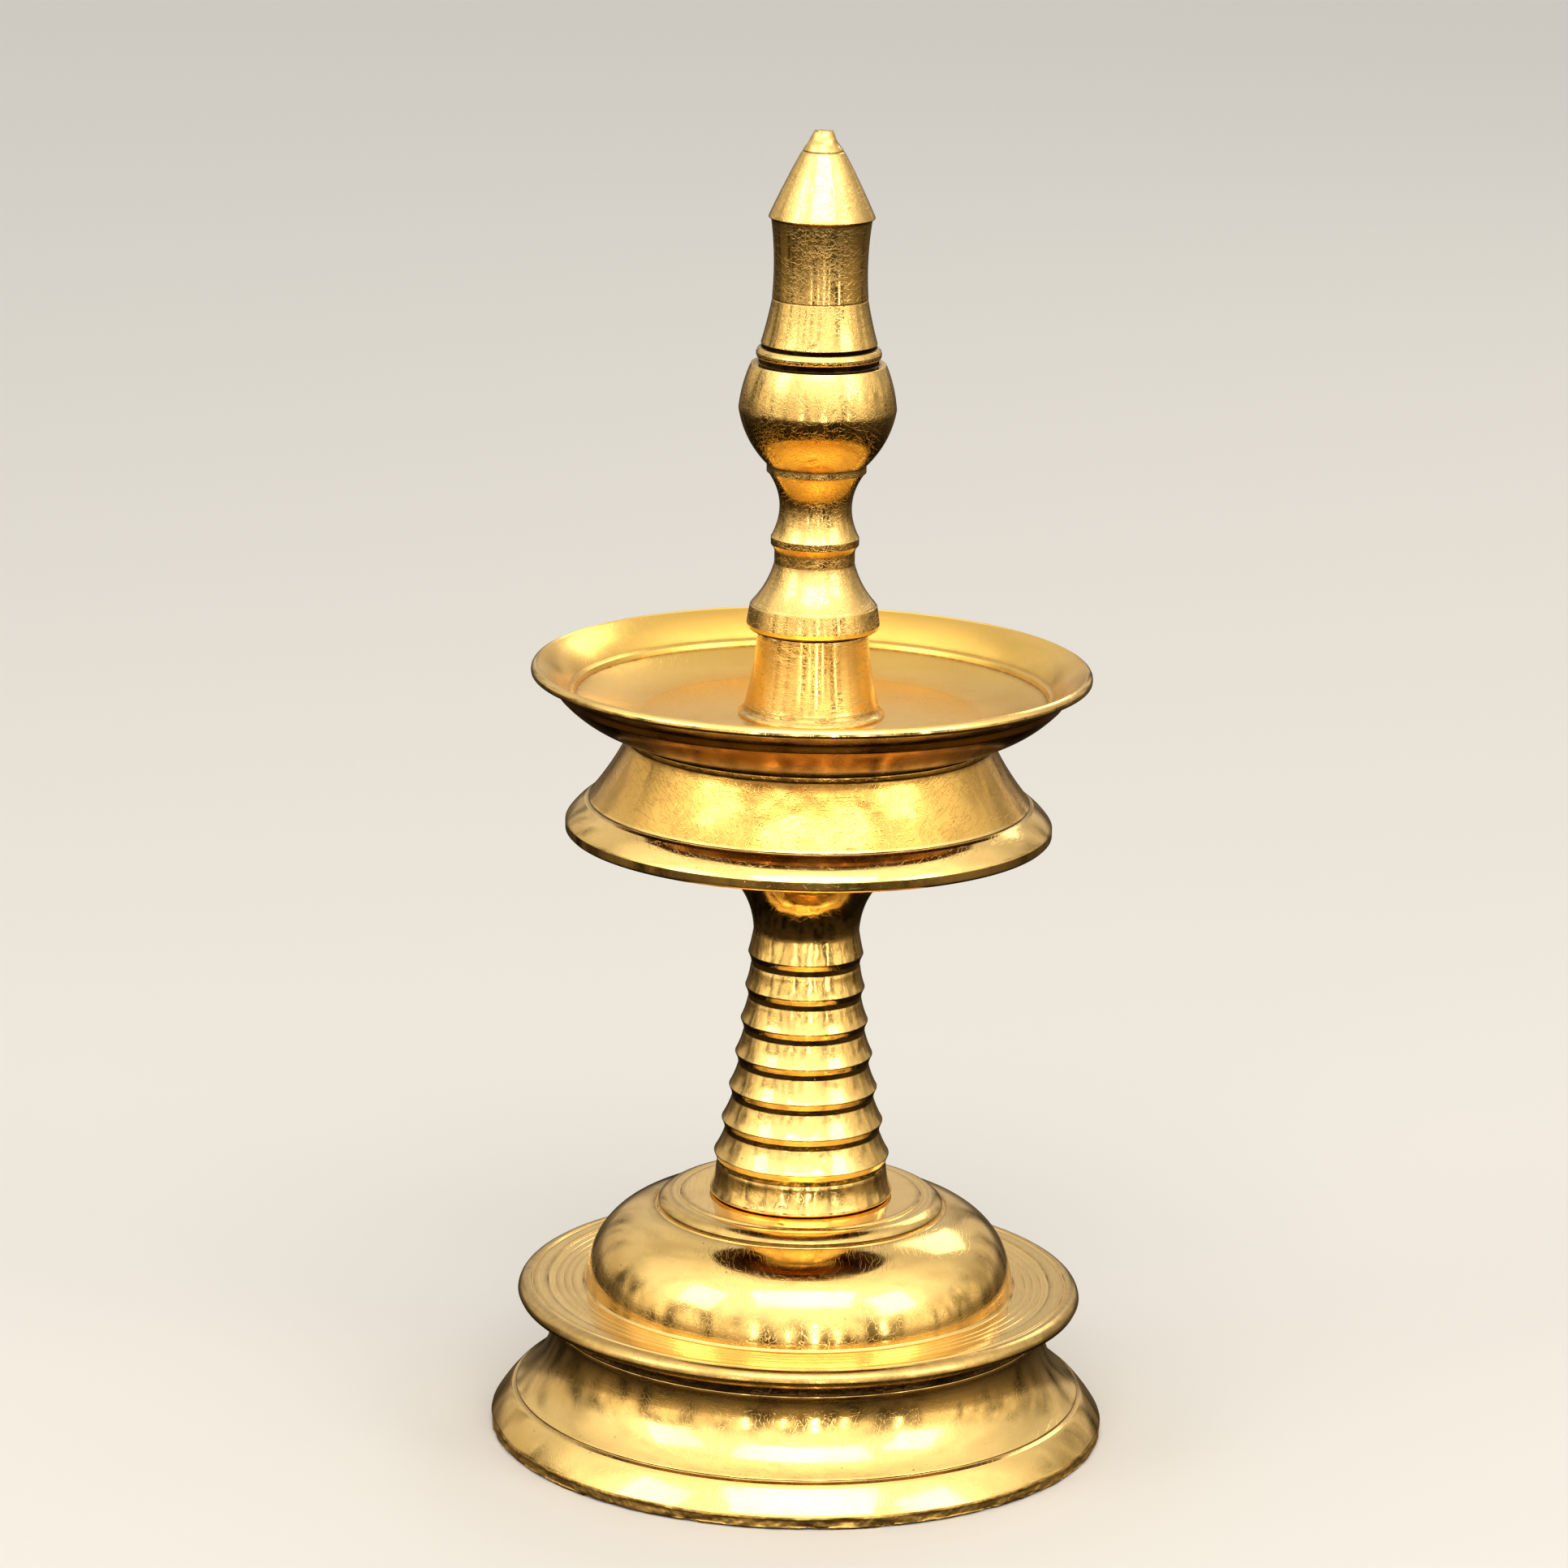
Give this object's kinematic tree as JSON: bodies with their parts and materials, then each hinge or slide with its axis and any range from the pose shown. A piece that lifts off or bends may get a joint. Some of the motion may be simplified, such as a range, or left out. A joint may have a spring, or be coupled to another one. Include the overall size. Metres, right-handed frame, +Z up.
{
  "type": "standing oil lamp",
  "caption": "Cast and turned brass standing oil lamp: flared foot and dome, ridged stem, shallow oil dish on a flared skirt, and a tall turned finial, screwed together",
  "frame": {"origin": "middle of the foot, on the table", "axes": "+Z up along the lamp's axis; X and Y level, and the lamp is round, so they are free"},
  "size_m": [0.0896, 0.0896, 0.1905],
  "materials": {
    "polished_brass": "turned and buffed, with fine hairlines and brown tarnish in the grooves",
    "cast_brass": "cast then turned, fine grained, with dark pits and a rough bottom edge",
    "satin_brass": "satin turned inside the dish, polished under it",
    "worn_brass": "polished, with many level scratches and dark chatter marks",
    "threaded_brass": "machined thread with dark oil in its roots",
    "braze": "dark granular brazing, unpolished"
  },
  "bodies": {
    "base": {"foot_ring": "cast_brass", "foot_seam": "braze", "base_dome": "polished_brass"},
    "lower_stud": {"lower_stud": "threaded_brass"},
    "stem": {"stem": "polished_brass"},
    "upper_stud": {"upper_stud": "threaded_brass"},
    "dish": {"dish_bowl": "satin_brass", "dish_skirt": "polished_brass", "skirt_seam": "braze", "dish_collar": "worn_brass"},
    "finial_stud": {"finial_stud": "threaded_brass"},
    "finial": {"finial": "polished_brass"}
  },
  "joints": [
    {"name": "stem_lift", "type": "slide", "parent": "base", "child": "lower_stud", "axis": [0, 0, 1], "range_m": [0, 0.00667]},
    {"name": "stem_turn", "type": "hinge", "parent": "lower_stud", "child": "stem", "pos_m": [0, 0, 0.0355], "axis": [0, 0, 1], "range_deg": [0, 1890.1]},
    {"name": "dish_turn", "type": "hinge", "parent": "stem", "child": "upper_stud", "pos_m": [0, 0, 0.098], "axis": [0, 0, 1], "range_deg": [0, 1890.1]},
    {"name": "dish_lift", "type": "slide", "parent": "upper_stud", "child": "dish", "axis": [0, 0, 1], "range_m": [0, 0.00667]},
    {"name": "finial_lift", "type": "slide", "parent": "dish", "child": "finial_stud", "axis": [0, 0, 1], "range_m": [0, 0.00667]},
    {"name": "finial_turn", "type": "hinge", "parent": "finial_stud", "child": "finial", "pos_m": [0, 0, 0.1193], "axis": [0, 0, 1], "range_deg": [0, 1890.1]}
  ],
  "couplings": [
    {"joint": "stem_turn", "follows": "stem_lift", "rad_per_m": 4947.4},
    {"joint": "dish_turn", "follows": "dish_lift", "rad_per_m": 4947.4},
    {"joint": "finial_turn", "follows": "finial_lift", "rad_per_m": 4947.4}
  ]
}
